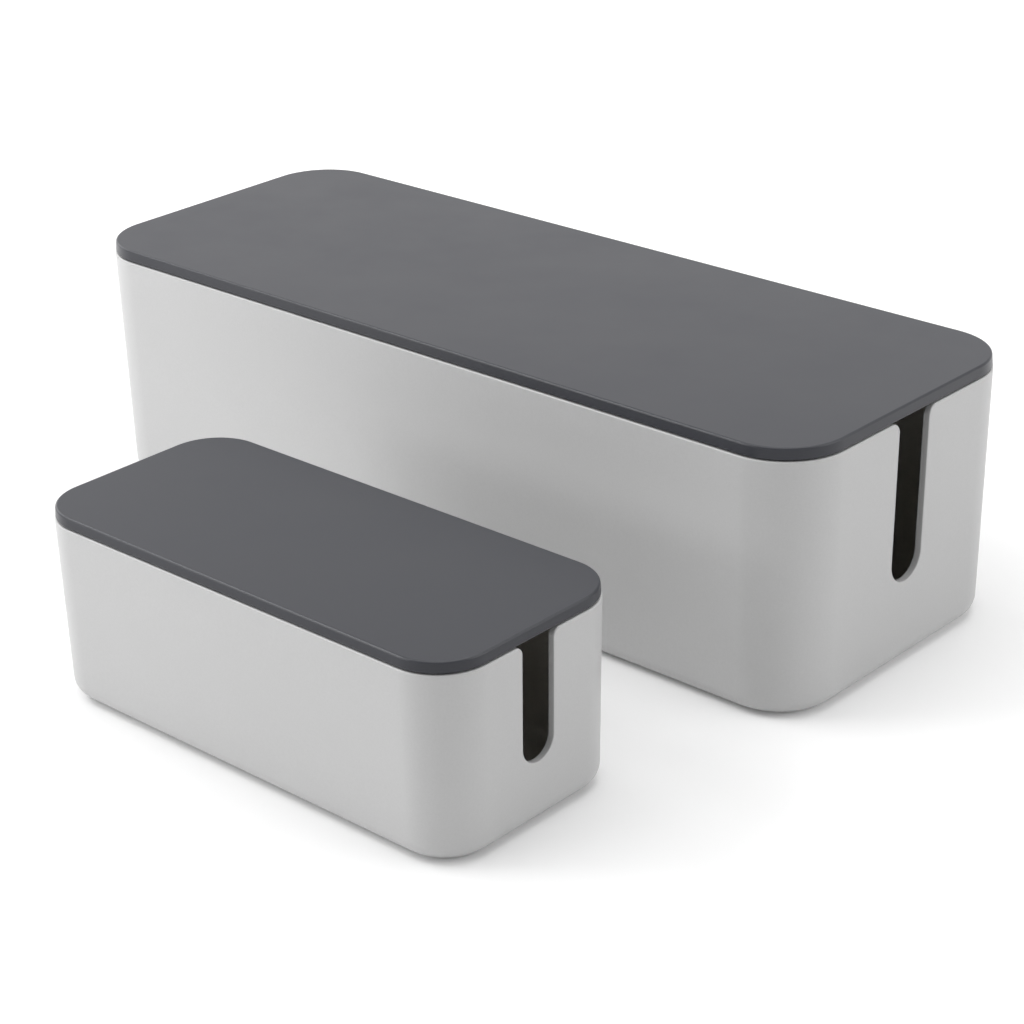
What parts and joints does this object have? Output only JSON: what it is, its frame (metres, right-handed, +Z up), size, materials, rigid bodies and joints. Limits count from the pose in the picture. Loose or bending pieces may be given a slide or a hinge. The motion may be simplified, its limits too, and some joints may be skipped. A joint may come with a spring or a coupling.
{
  "type": "cable management box",
  "caption": "Set of a large and a small cable management box: drafted round-cornered tubs with a cable slot in both end walls, lift-off lids and rubber feet.",
  "frame": {"origin": "on the table, at the middle of the rectangle that the two boxes cover together", "axes": "+X along the boxes' length, +Y from the small box to the large one, +Z up"},
  "size_m": [0.4, 0.308, 0.115],
  "materials": {
    "silver_plastic": "satin silver-grey with a very fine grain",
    "dark_grey_plastic": "matte dark grey",
    "foot_rubber": "matte black"
  },
  "bodies": {
    "large_box": {"large_tub": "silver_plastic", "large_foot_front_left": "foot_rubber", "large_foot_front_right": "foot_rubber", "large_foot_back_left": "foot_rubber", "large_foot_back_right": "foot_rubber"},
    "large_lid": {"large_lid": "dark_grey_plastic"},
    "small_box": {"small_tub": "silver_plastic", "small_foot_front_left": "foot_rubber", "small_foot_front_right": "foot_rubber", "small_foot_back_left": "foot_rubber", "small_foot_back_right": "foot_rubber"},
    "small_lid": {"small_lid": "dark_grey_plastic"}
  },
  "joints": [
    {"name": "large_lid_lift", "type": "slide", "parent": "large_box", "child": "large_lid", "axis": [0, 0, 1], "range_m": [0, 0.15]},
    {"name": "small_box_move", "type": "slide", "parent": "large_box", "child": "small_box", "axis": [0, -1, 0], "range_m": [0, 0.2]},
    {"name": "small_lid_lift", "type": "slide", "parent": "small_box", "child": "small_lid", "axis": [0, 0, 1], "range_m": [0, 0.12]}
  ]
}
